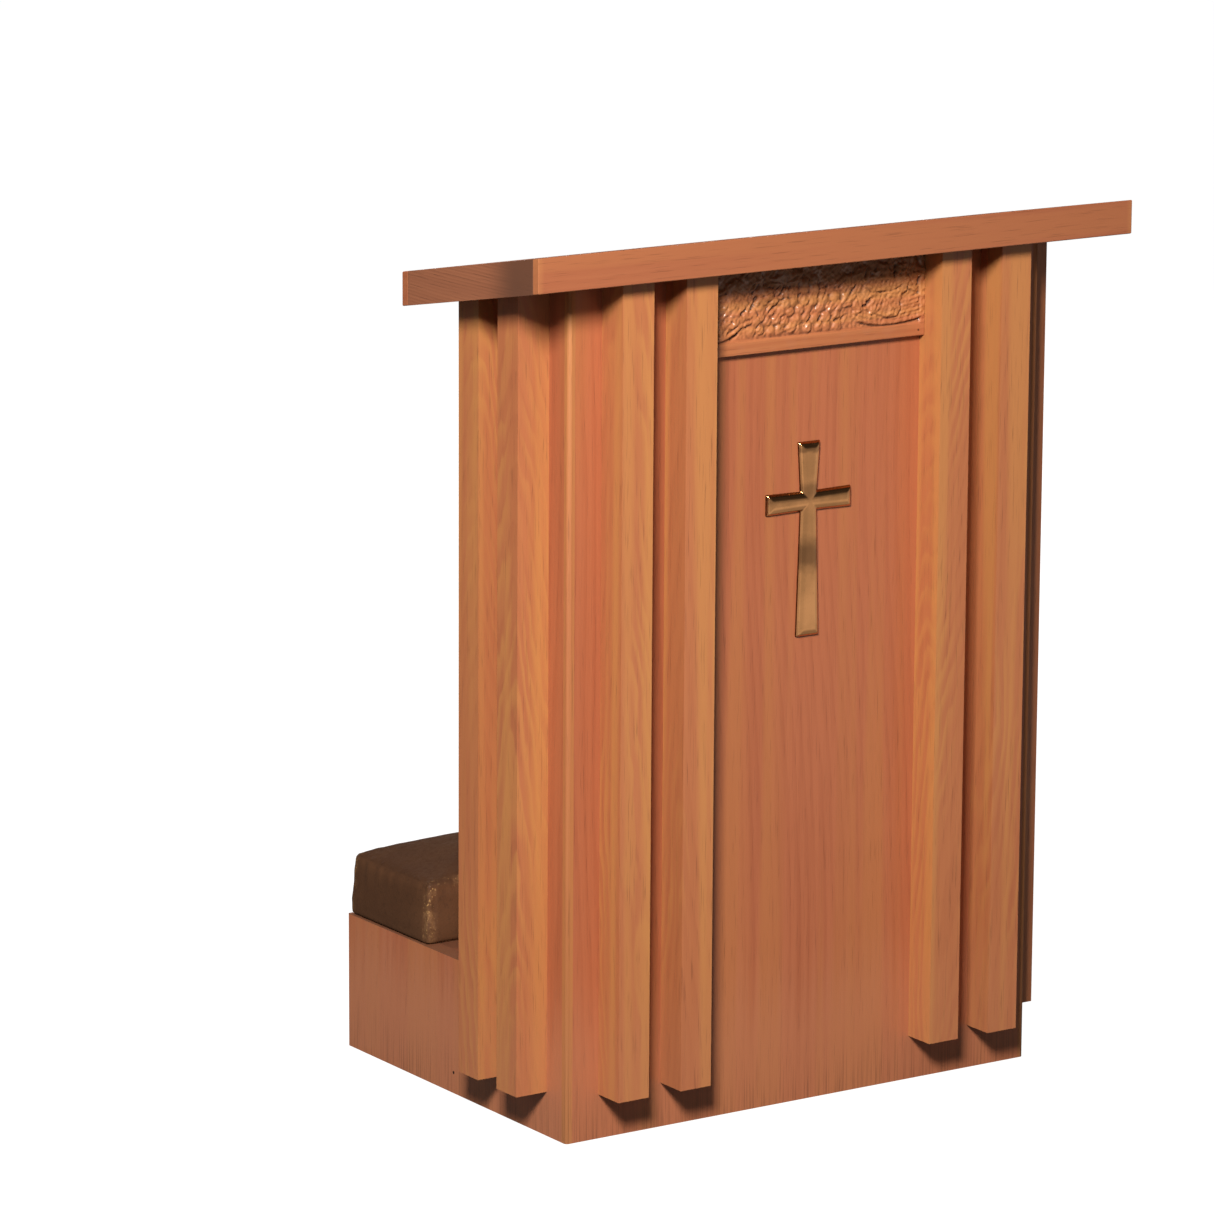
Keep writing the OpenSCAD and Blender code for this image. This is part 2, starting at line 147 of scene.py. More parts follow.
def add_floor():
    """A large sheet at z = 0 that is white to the camera and almost black to soft light."""
    half = 30.0
    corners = [(-half, -half, 0), (half, -half, 0), (half, half, 0), (-half, half, 0)]
    mesh = bpy.data.meshes.new("floor")
    mesh.from_pydata(corners, [], [(0, 1, 2, 3)])
    floor = bpy.data.objects.new("floor", mesh)
    bpy.context.scene.collection.objects.link(floor)
    material = bpy.data.materials.new("floor_paper")
    material.use_nodes = True
    tree = material.node_tree
    tree.nodes.clear()
    glow = tree.nodes.new("ShaderNodeEmission")
    glow.inputs["Color"].default_value = (1.0, 1.0, 1.0, 1)
    paper = tree.nodes.new("ShaderNodeBsdfDiffuse")
    paper.inputs["Color"].default_value = (0.08, 0.08, 0.08, 1)
    both = tree.nodes.new("ShaderNodeAddShader")
    out = tree.nodes.new("ShaderNodeOutputMaterial")
    # in reflections the paper is brightest in a band in front of the desk
    place = tree.nodes.new("ShaderNodeTexCoord")
    split = tree.nodes.new("ShaderNodeSeparateXYZ")
    tree.links.new(place.outputs["Object"], split.inputs[0])
    band = tree.nodes.new("ShaderNodeMath")
    band.operation = "MULTIPLY"
    for numbers, socket in zip(((-3.4, -2.2, 0.55, 1.0), (-1.6, -0.2, 0.75, 0.03)), band.inputs):
        tree.links.new(map_range(tree, split.outputs["Y"], *numbers), socket)
    tree.links.new(ray_strength(tree, PAPER_WHITE, band.outputs[0], 0.0), glow.inputs["Strength"])
    tree.links.new(glow.outputs[0], both.inputs[0])
    tree.links.new(paper.outputs[0], both.inputs[1])
    tree.links.new(both.outputs[0], out.inputs["Surface"])
    mesh.materials.append(material)


# ---- node trees ----

class Tree:
    """A short way to write a material's nodes: every call returns an output socket."""

    def __init__(self, name):
        self.material = bpy.data.materials.new(name)
        self.material.use_nodes = True
        self.tree = self.material.node_tree
        self.shader = self.tree.nodes["Principled BSDF"]
        self.place = self.node("ShaderNodeTexCoord").outputs["Object"]

    def node(self, kind, **settings):
        made = self.tree.nodes.new(kind)
        for key, value in settings.items():
            setattr(made, key, value)
        return made

    def feed(self, socket, value):
        if isinstance(value, bpy.types.NodeSocket):
            self.tree.links.new(value, socket)
        else:
            socket.default_value = value

    def math(self, operation, a, b=0.0, c=0.0, clamp=False):
        made = self.node("ShaderNodeMath", operation=operation, use_clamp=clamp)
        for socket, value in zip(made.inputs, (a, b, c)):
            self.feed(socket, value)
        return made.outputs[0]

    def vector(self, operation, a, b=(0, 0, 0)):
        made = self.node("ShaderNodeVectorMath", operation=operation)
        self.feed(made.inputs[0], a)
        if operation == "SCALE":
            self.feed(made.inputs["Scale"], b)
        else:
            self.feed(made.inputs[1], b)
        return made.outputs["Value" if operation in ("LENGTH", "DOT_PRODUCT") else "Vector"]

    def mapped(self, vector, move=(0, 0, 0), turn=(0, 0, 0), scale=(1, 1, 1)):
        made = self.node("ShaderNodeMapping")
        self.feed(made.inputs["Vector"], vector)
        made.inputs["Location"].default_value = move
        made.inputs["Rotation"].default_value = [math.radians(a) for a in turn]
        made.inputs["Scale"].default_value = scale
        return made.outputs[0]

    def noise(self, vector, scale=1.0, detail=2.0, rough=0.5, colour=False):
        made = self.node("ShaderNodeTexNoise")
        self.feed(made.inputs["Vector"], vector)
        made.inputs["Scale"].default_value = scale
        made.inputs["Detail"].default_value = detail
        made.inputs["Roughness"].default_value = rough
        return made.outputs["Color" if colour else "Fac"]

    def ramp(self, value, low, high, out_low=0.0, out_high=1.0):
        """A smooth step from out_low to out_high as value goes from low to high."""
        made = self.node("ShaderNodeMapRange", interpolation_type="SMOOTHSTEP")
        for socket, number in zip(made.inputs, (value, low, high, out_low, out_high)):
            self.feed(socket, number)
        return made.outputs[0]

    def mix(self, share, a, b, blend="MIX"):
        made = self.node("ShaderNodeMix", data_type="RGBA", blend_type=blend)
        self.feed(made.inputs["Factor"], share)
        self.feed(made.inputs[6], a)
        self.feed(made.inputs[7], b)
        return made.outputs[2]

    def split(self, vector):
        made = self.node("ShaderNodeSeparateXYZ")
        self.feed(made.inputs[0], vector)
        return made.outputs

    def join(self, x, y, z):
        made = self.node("ShaderNodeCombineXYZ")
        for socket, value in zip(made.inputs, (x, y, z)):
            self.feed(socket, value)
        return made.outputs[0]

    def bump(self, height, distance, strength=1.0):
        made = self.node("ShaderNodeBump")
        made.inputs["Strength"].default_value = strength
        made.inputs["Distance"].default_value = distance
        self.feed(made.inputs["Height"], height)
        self.tree.links.new(made.outputs[0], self.shader.inputs["Normal"])


def rgb(red, green, blue):
    """A colour given as 0-255 display values, as the linear RGBA that shaders take."""
    linear = []
    for value in (red, green, blue):
        share = value / 255
        linear.append(share / 12.92 if value <= 10 else ((share + 0.055) / 1.055) ** 2.4)
    return (*linear, 1)


def lit(red, green, blue):
    """The reflectance that shows as this display colour on a face turned to the key light."""
    return (*(value / KEY_LEVEL for value in rgb(red, green, blue)[:3]), 1)


# ---- wood ----

# turn that brings each grain direction to the material's own Z axis
GRAIN = {"x": (0, -90, 0), "y": (90, 0, 0), "z": (0, 0, 0)}


def wood(name, grain, seed, light, dark, warm, pith=(0.07, 0.12), rings=150.0, figure=0.5, flame=0.0,
         lean=0.03, coat=0.12, roughness=0.4, foot=0.0, carved=False, hand_grime_and_shade=None, highlit_edge_x=None,
         ledge_shadow=None, pinholes=()):
    """Varnished wood with growth rings round a leaning pith, fibres, pores and slow colour changes.

    light and dark are the early and late wood, and warm the tint of the broad streaks. figure is how
    strongly the rings show, flame the share of golden rings, and lean how far the pith tilts along the
    grain. foot is how much paler the lowest part is painted, as painted light that makes up for the key
    light's falloff towards the floor; it also brings dark scuffs near the floor. A carved piece has painted
    shade in its cuts and a painted shadow under the desk top. handled gives two depths between which the
    wood is darkened: by hands on the desk top's ends, and by a painted shadow in front of the pad on the
    kneeler board. arris is how far to either side stand the upright edges that get a pale painted
    highlight. ledge is the height of a top edge behind the upright that gets a painted shadow, and
    pinholes are the places of old nail holes.
    """
    t = Tree(name)
    rng = np.random.default_rng(seed)
    offset = [float(v) for v in rng.uniform(-3, 3, 3)]
    p = t.mapped(t.place, turn=GRAIN[grain])
    q = t.vector("ADD", p, offset)

    # rings: distance from a pith that leans and wanders slowly along the grain
    x, y, z = t.split(p)
    drift = t.noise(t.mapped(q, scale=(2.2, 2.2, 1.1)), detail=1.5, colour=True)
    drift = t.vector("SCALE", t.vector("SUBTRACT", drift, (0.5, 0.5, 0.5)), 0.09)
    dx, dy, _ = t.split(drift)
    px = t.math("ADD", t.math("ADD", x, dx), t.math("MULTIPLY_ADD", z, lean, pith[0]))
    py = t.math("ADD", t.math("ADD", y, dy), pith[1])
    radius = t.vector("LENGTH", t.join(px, py, 0.0))
    wobble = t.noise(t.mapped(q, scale=(60, 60, 5)), detail=2)
    phase = t.math("ADD", t.math("MULTIPLY", radius, rings), t.math("MULTIPLY", wobble, 0.9))
    saw = t.math("FRACT", phase)
    late = t.math("MULTIPLY", t.ramp(saw, 0.25, 0.85), t.ramp(saw, 0.98, 0.88))

    # fibres and streaks along the grain, from fine to broad
    fibre = t.noise(t.mapped(q, scale=(620, 620, 9)), detail=3, rough=0.6)
    streak = t.noise(t.mapped(q, scale=(110, 110, 1.8)), detail=2.5, rough=0.5)
    broad = t.noise(t.mapped(q, scale=(34, 34, 0.7)), detail=1.5)
    patch = t.noise(t.mapped(q, scale=(5, 5, 2.5)), detail=2)
    pore = t.ramp(t.noise(t.mapped(q, scale=(900, 900, 24)), detail=1), 0.60, 0.72)
    pore = t.math("MULTIPLY", pore, t.math("MULTIPLY_ADD", late, 0.5, 0.5))

    tone = t.math("MULTIPLY", late, figure)
    tone = t.math("ADD", tone, t.ramp(streak, 0.25, 0.8, 0.0, 0.36))
    tone = t.math("ADD", tone, t.ramp(fibre, 0.3, 0.7, -0.1, 0.1))
    tone = t.math("ADD", tone, t.ramp(patch, 0.35, 0.7, -0.1, 0.2), clamp=True)
    colour = t.mix(tone, light, dark)
    colour = t.mix(t.ramp(broad, 0.46, 0.62, 0.0, 0.7), colour, warm)
    if flame:
        bend = t.noise(t.mapped(q, scale=(22, 22, 5)), detail=3)
        saw = t.math("FRACT", t.math("MULTIPLY_ADD", bend, 4.0, phase))
        gold = t.math("MULTIPLY", t.ramp(saw, 0.2, 0.75), t.ramp(saw, 1.0, 0.8))
        where = t.ramp(t.noise(t.mapped(q, scale=(14, 14, 2.2)), detail=2), 0.42, 0.62)
        colour = t.mix(t.math("MULTIPLY", t.math("MULTIPLY", gold, where), flame), colour, warm)
    colour = t.mix(t.math("MULTIPLY", pore, 0.3), colour, lit(96, 58, 36))

    across, depth, height = t.split(t.place)
    if foot:
        # a paler foot, painted light that makes up for the key light's falloff towards the floor,
        # with dark scuffs near the floor
        ragged = t.math("ADD", height, t.math("MULTIPLY", streak, 0.10))
        low = t.ramp(ragged, 0.24, 0.12)
        colour = t.mix(t.math("MULTIPLY", low, 0.7 * foot), colour, lit(210, 138, 102))
        wet = t.ramp(ragged, 0.115, 0.045)
        scuff = t.math("MULTIPLY", wet, t.ramp(fibre, 0.47, 0.68, 0.0, 0.85))
        colour = t.mix(t.math("MULTIPLY", scuff, 0.5), colour, lit(92, 62, 44))
    if carved:
        # painted shade darkens the carver's cuts, the more so the deeper they lie
        cut_shade = t.node("ShaderNodeAttribute", attribute_name=CAVITY).outputs["Fac"]
        colour = t.mix(t.ramp(cut_shade, 0.1, 0.85, 0.0, 0.85), colour, lit(92, 56, 38))
        # a painted shadow of the desk top's overhang darkens the carving's top
        under = desk_underside(front_y)
        overhang_shadow = t.ramp(height, under - 26 * MM, under - 8 * MM, 0.0, 0.6)
        colour = t.mix(overhang_shadow, colour, lit(120, 78, 54))
    if hand_grime_and_shade:
        # hands darken the desk top's ends; on the kneeler board this is a painted shadow before the pad
        grip_and_shade = t.ramp(depth, hand_grime_and_shade[0], hand_grime_and_shade[1])
        grip_and_shade = t.math("MULTIPLY", grip_and_shade, t.ramp(patch, 0.3, 0.6, 0.45, 1.0))
        colour = t.mix(grip_and_shade, colour, lit(112, 74, 56))
    if highlit_edge_x:
        # a pale painted highlight along the upright edges
        edge = t.math("SUBTRACT", highlit_edge_x, t.math("ABSOLUTE", across))
        colour = t.mix(t.ramp(edge, 8 * MM, 2 * MM, 0.0, 0.35), colour, lit(208, 138, 86))
    if ledge_shadow:
        # a painted shadow on the top edge behind the upright
        behind = t.ramp(depth, 0.0, 10 * MM)
        above = t.ramp(height, ledge_shadow - 1.2 * MM, ledge_shadow - 0.3 * MM, 0.0, 0.8)
        colour = t.mix(t.math("MULTIPLY", behind, above), colour, lit(112, 78, 60))
    for hole in pinholes:
        away = t.vector("LENGTH", t.vector("SUBTRACT", t.place, hole))
        colour = t.mix(t.ramp(away, 2.1 * MM, 1.3 * MM), colour, lit(44, 30, 24))
    t.feed(t.shader.inputs["Base Color"], colour)

    gloss = t.math("ADD", roughness, t.ramp(patch, 0.3, 0.7, -0.05, 0.09))
    gloss = t.math("ADD", gloss, t.math("MULTIPLY", pore, 0.1))
    t.feed(t.shader.inputs["Roughness"], gloss)
    t.shader.inputs["Specular IOR Level"].default_value = 0.3
    if carved:
        # old polish is left in places only
        t.feed(t.shader.inputs["Coat Weight"], t.ramp(t.noise(q, scale=70, detail=1), 0.5, 0.62, 0.0, coat))
    else:
        t.shader.inputs["Coat Weight"].default_value = coat
    t.shader.inputs["Coat Roughness"].default_value = 0.22
    t.shader.inputs["Coat IOR"].default_value = 1.5
    relief = t.math("ADD", t.math("MULTIPLY", fibre, 0.35), t.math("MULTIPLY", pore, -1.0))
    t.bump(relief, 0.00012)
    return t.material


# places of shading that the carving stores in its mesh
CAVITY = "cavity"

PANEL = dict(light=lit(200, 117, 79), dark=lit(178, 98, 65), warm=lit(202, 126, 77))
BATTEN = dict(light=lit(206, 127, 82), dark=lit(187, 108, 71), warm=lit(217, 147, 86))
BEAD = dict(light=lit(200, 127, 79), dark=lit(186, 110, 71), warm=lit(203, 136, 79))
CARVED = dict(light=lit(206, 128, 82), dark=lit(182, 103, 66), warm=lit(216, 146, 84))
DESK = dict(light=lit(186, 111, 75), dark=lit(173, 98, 66), warm=lit(190, 117, 76))
DESK_END = dict(light=lit(172, 110, 80), dark=lit(140, 86, 62), warm=lit(164, 104, 76))
INNER = dict(light=lit(214, 176, 124), dark=lit(186, 140, 90), warm=lit(220, 184, 132))


def dress(node, material, bevel=0.8 * MM, segments=2):
    """Gives a CAD node its material and eases its edges."""
    piece = nodes[node]
    piece.data.materials.clear()
    piece.data.materials.append(material)
    if bevel:
        weld = piece.modifiers.new("weld", "WELD")
        weld.merge_threshold = 0.01 * MM
        ease = piece.modifiers.new("eased_edges", "BEVEL")
        ease.width = bevel
        ease.segments = segments
        ease.limit_method = "ANGLE"
        ease.angle_limit = math.radians(40)
        ease.harden_normals = True
    return piece


def dress_panels():
    """The veneered boards: upright ones with grain along Z, and two lying ones with grain along X."""
    upright = ("front_panel", "left_side_panel", "right_side_panel", "back_panel", "kneeler_end_panel")
    for i, node in enumerate(upright):
        # the back panel's edges are covered, and its screw holes go right through
        bevel = 0 if node == "back_panel" else 0.5 * MM
        # foot paints the lowest part paler as painted light; ledge gives the side panels a painted shadow
        marks = {"foot": 0.6}
        if "side_panel" in node:
            marks = {"foot": 1.0, "ledge_shadow": kneeler_z}
        if node == "left_side_panel":
            batten_lo, batten_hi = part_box("side_batten_left_rear")
            marks["pinholes"] = [(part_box(node)[0].x, batten_hi.y + 70 * MM, batten_lo.z - 25 * MM)]
        finish = wood(node, "z", 10 + i, **PANEL, pith=(0.9, 0.5), rings=95, figure=0.28, **marks)
        dress(node, finish, bevel)
    pad_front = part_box("pad_cover")[0].y
    # a painted shadow darkens the kneeler board in front of the pad
    lying = {"kneeler_board": (pad_front - 70 * MM, pad_front - 15 * MM), "book_shelf": None}
    for i, (node, painted_shadow_span) in enumerate(lying.items()):
        finish = wood(node, "x", 20 + i, **PANEL, pith=(0.6, 0.9), rings=95, figure=0.28, hand_grime_and_shade=painted_shadow_span)
        dress(node, finish, bevel=0.5 * MM)


def dress_solid_wood():
    """Battens, beads and lippings, the desk top's core, and the plain wood that is out of sight."""
    battens = [n for n in nodes if "_batten_" in n]
    for i, node in enumerate(sorted(battens)):
        lo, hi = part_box(node)
        middle = (lo + hi) / 2
        # the pith lies beside each batten, so that its faces show arched figure
        pith = (-middle.x + (-1) ** i * 0.05, -middle.y + 0.055)
        lean = (0.12 + 0.07 * (i % 3)) * (-1) ** (i // 2)
        finish = wood(node, "z", 30 + i, **BATTEN, pith=pith, rings=95, figure=0.2, flame=0.6,
                      lean=lean, foot=0.35)
        dress(node, finish, bevel=1.2 * MM, segments=3)
    strips = ("corner_bead_left", "corner_bead_right", "upright_lipping_left", "upright_lipping_right")
    for i, node in enumerate(strips):
        finish = wood(node, "z", 50 + i, **BEAD, pith=(0.5, 0.5), figure=0.1, foot=0.4, coat=0.0,
                      roughness=0.6)
        dress(node, finish, bevel=0.6 * MM)
    along_x = ("desk_lipping_front", "desk_lipping_rear", "desk_top_core", "shelf_lipping",
               "kneeler_lipping")
    for i, node in enumerate(along_x):
        # the front lipping's upright ends get a pale painted highlight
        highlit_edge_x = edge_hi.x if node == "desk_lipping_front" else None
        finish = wood(node, "x", 60 + i, **DESK, pith=(0.3, 0.4), rings=120, figure=0.25, highlit_edge_x=highlit_edge_x)
        dress(node, finish, bevel=1.0 * MM)
    hands = (edge_hi.y + 95 * MM, edge_hi.y + 30 * MM)
    for i, node in enumerate(("desk_lipping_left", "desk_lipping_right")):
        finish = wood(node, "y", 70 + i, **DESK_END, pith=(0.3, 0.4), rings=260, figure=0.4, coat=0.05,
                      hand_grime_and_shade=hands)
        dress(node, finish, bevel=1.0 * MM)
    inner = [n for n in nodes if "post" in n or "cleat" in n or "kneeler_rail" in n or n == "pad_board"]
    for i, node in enumerate(sorted(n for n in inner if "screws" not in n)):
        grain = "z" if "post" in node or "back_cleat" in node else "x"
        dress(node, wood(node, grain, 80 + i, **INNER, coat=0.0, roughness=0.6))
    # the dowels are of the same wood as the desk's front cleat
    dress("rail_dowels", bpy.data.materials["desk_cleat_front"])


# ---- metal ----

def brass(name, wall_y=None, dark_reflections=()):
    """Aged brass, with tarnish and painted shade where it meets the panel if wall_y says where that is.

    dull lists the height, reach and share of painted reflections of dark surroundings, as dark patches.
    """
    t = Tree(name)
    q = t.mapped(t.place, move=(1, 2, 3))
    cloud = t.noise(q, scale=22, detail=4, rough=0.6)
    spot = t.noise(q, scale=260, detail=2)
    colour = t.mix(t.ramp(cloud, 0.35, 0.7), (0.66, 0.305, 0.12, 1), (0.56, 0.26, 0.10, 1))
    colour = t.mix(t.ramp(spot, 0.62, 0.75, 0, 0.3), colour, (0.35, 0.18, 0.07, 1))
    # the patches' edges wander by this much
    ragged = 12 * MM
    height = t.math("ADD", t.split(t.place)[2], t.math("MULTIPLY", t.noise(q, scale=90, detail=2), ragged))
    # each patch is a painted reflection of dark surroundings
    for centre, reach, share in dark_reflections:
        away = t.math("ABSOLUTE", t.math("SUBTRACT", height, centre + ragged / 2))
        patch = t.math("MULTIPLY", t.ramp(away, reach, 0.2 * reach), share)
        colour = t.mix(patch, colour, (0.17, 0.08, 0.035, 1))
    if wall_y is not None:
        # tarnish and painted shade darken the foot of the wall, where the cross meets the panel
        depth = t.split(t.place)[1]
        tarnish_and_shade = t.ramp(depth, wall_y - 2.6 * MM, wall_y - 1.6 * MM)
        colour = t.mix(tarnish_and_shade, colour, (0.10, 0.055, 0.03, 1))
    t.feed(t.shader.inputs["Base Color"], colour)
    t.shader.inputs["Metallic"].default_value = 1.0
    t.feed(t.shader.inputs["Roughness"], t.ramp(cloud, 0.3, 0.7, 0.14, 0.2))
    t.bump(t.noise(q, scale=24, detail=1), 0.0004)
    return t.material


def steel():
    t = Tree("zinc_plated_steel")
    q = t.mapped(t.place, move=(4, 5, 6))
    cloud = t.noise(q, scale=120, detail=3)
    t.feed(t.shader.inputs["Base Color"],
           t.mix(t.ramp(cloud, 0.35, 0.65), (0.55, 0.56, 0.58, 1), (0.42, 0.41, 0.38, 1)))
    t.shader.inputs["Metallic"].default_value = 1.0
    t.feed(t.shader.inputs["Roughness"], t.ramp(cloud, 0.3, 0.7, 0.3, 0.5))
    return t.material


def dress_metal():
    plated = steel()
    for node in ("batten_screws", "desk_screws", "cleat_screws", "pad_screws", "frieze_pins"):
        dress(node, plated, bevel=0)
    yellow = brass("brass_screws")
    dress("cross_studs", yellow, bevel=0)
    make_slotted_screws(yellow)


# ---- pieces made in code ----

def add_piece(name, mesh, material, slot, *stands_for):
    """Links a mesh as a piece on the only body, in place of CAD nodes."""
    piece = bpy.data.objects.new(name, mesh)
    bpy.context.scene.collection.objects.link(piece)
    mesh.materials.clear()
    mesh.materials.append(material)
    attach(piece, "root")
    if stands_for:
        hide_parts(*stands_for)
    return piece


def inset(outline, distance):
    """Moves every side of a closed anticlockwise outline inwards by a distance."""
    count = len(outline)
    moved = []
    for i in range(count):
        a, b, c = outline[i - 1], outline[i], outline[(i + 1) % count]
        before = (b - a).normalized()
        after = (c - b).normalized()
        left_before = Vector((-before.y, before.x))
        left_after = Vector((-after.y, after.x))
        bisector = (left_before + left_after).normalized()
        moved.append(b + bisector * distance / bisector.dot(left_before))
    return moved


def make_cross():
    """The cross as a cast bar with flared arms, broad bevels and a faintly crowned face."""
    lo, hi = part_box("brass_cross")
    middle_z = 0.650
    neck, top, foot, end = 10.5 * MM, 14 * MM, 14.5 * MM, 11.25 * MM
    up, down, out = hi.z - middle_z, lo.z - middle_z, hi.x
    outline = [Vector(v) for v in (
        (-neck, -neck), (-foot, down), (foot, down), (neck, -neck), (out, -end), (out, end),
        (neck, neck), (top, up), (-top, up), (-neck, neck), (-out, end), (-out, -end),
    )]
    # inset from the outline and thickness of each level, from the panel outwards
    levels = ((0, 0), (0, 1.8), (2.2, 4.7), (6.2, 5.85), (8.2, 6.0))
    form = bmesh.new()
    rings = []
    for step, thick in levels:
        ring = inset(outline, step * MM) if step else outline
        rings.append([form.verts.new((v.x, front_y - thick * MM, middle_z + v.y)) for v in ring])
    for low, high in zip(rings, rings[1:]):
        for i in range(len(low)):
            k = (i + 1) % len(low)
            form.faces.new((low[i], low[k], high[k], high[i]))
    form.faces.new(rings[-1])
    form.faces.new(rings[0][::-1])
    bmesh.ops.recalc_face_normals(form, faces=form.faces)
    for face in form.faces:
        face.smooth = True
    mesh = bpy.data.meshes.new("cast_cross")
    form.to_mesh(mesh)
    form.free()
    # height, reach and share of the patches of painted dark reflection
    dark_reflections = ((0.593, 24 * MM, 0.75), (0.661, 14 * MM, 0.55), (0.706, 6 * MM, 0.6))
    piece = add_piece("cast_cross", mesh, brass("brass_cross", front_y, dark_reflections), "brass", "brass_cross")
    ease = piece.modifiers.new("eased_edges", "BEVEL")
    ease.width = 2.0 * MM
    ease.segments = 5
    ease.limit_method = "ANGLE"
    ease.angle_limit = math.radians(3)
    ease.harden_normals = True


def make_slotted_screws(material):
    """Countersunk brass screws in the back panel, with domed heads and slots, tapering to the shank."""
    lo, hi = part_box("back_panel_screws")
    heights = (0.190, 0.400, 0.650)             # of the three screws at each side
    head = 4 * MM                               # radius
    crown = 0.35 * MM
    slot_half, slot_deep = 0.5 * MM, 1.3 * MM
    head_deep, shank_share = 3 * MM, 0.5
    pitch = 0.25 * MM
    count = int(head / pitch) + 1
    rng = np.random.default_rng(11)
    form = bmesh.new()
    for x in (lo.x + head, hi.x - head):
        for z in heights:
            turn = rng.uniform(0, math.pi)
            corners = {}

            def corner(i, k):
                """The head's vertex at a place of the grid, drawn in to the rim if it lies past it."""
                if (i, k) not in corners:
                    u, v = i * pitch, k * pitch
                    reach = math.hypot(u, v)
                    drawn = min(1, head / max(reach, 1e-9))
                    u, v = u * drawn, v * drawn
                    y = hi.y - crown + crown * (1 - (reach / head) ** 2)
                    if abs(u * math.sin(turn) - v * math.cos(turn)) < slot_half:
                        y -= slot_deep
                    corners[i, k] = form.verts.new((x + u, y, z + v))
                return corners[i, k]

            rings = []
            for i in range(-count, count):
                for k in range(-count, count):
                    if math.hypot(i + 0.5, k + 0.5) * pitch < head:
                        square = ((i, k), (i, k + 1), (i + 1, k + 1), (i + 1, k))
                        rings.append([corner(*place) for place in square])
            # the same outline again, drawn in to the shank at the back, closes the head; it is built
            # by hand, since Blender's extrusion leaves its faces in another order each run
            twin = {}
            for vert in corners.values():
                from_axis = Vector((vert.co.x - x, 0, vert.co.z - z)) * shank_share
                twin[vert] = form.verts.new(Vector((x, hi.y - head_deep, z)) + from_axis)
            for ring in rings:
                form.faces.new(ring)
                form.faces.new([twin[vert] for vert in ring])
            edges = [(ring[n - 1], ring[n]) for ring in rings for n in range(4)]
            known = set(edges)
            for a, b in edges:
                if (b, a) not in known:
                    form.faces.new((a, b, twin[b], twin[a]))
    bmesh.ops.recalc_face_normals(form, faces=form.faces)
    mesh = bpy.data.meshes.new("slotted_screws")
    form.to_mesh(mesh)
    form.free()
    add_piece("slotted_screws", mesh, material, "brass", "back_panel_screws")


# ---- carved frieze ----

def smooth_line(points, steps=8):
    """A rounded line through points, as an array of closely spaced points."""
    p = np.array([points[0], *points, points[-1]], float)
    found = []
    for i in range(1, len(p) - 2):
        for t in np.linspace(0, 1, steps, endpoint=False):
            a, b, c, d = p[i - 1:i + 3]
            found.append(0.5 * (2 * b + (c - a) * t + (2 * a - 5 * b + 4 * c - d) * t ** 2
                                + (3 * b - a - 3 * c + d) * t ** 3))
    found.append(p[-2])
    return np.array(found)


def step_up(value, low, high):
    """0 below low, 1 above high, and smooth between."""
    t = np.clip((value - low) / (high - low), 0, 1)
    return t * t * (3 - 2 * t)


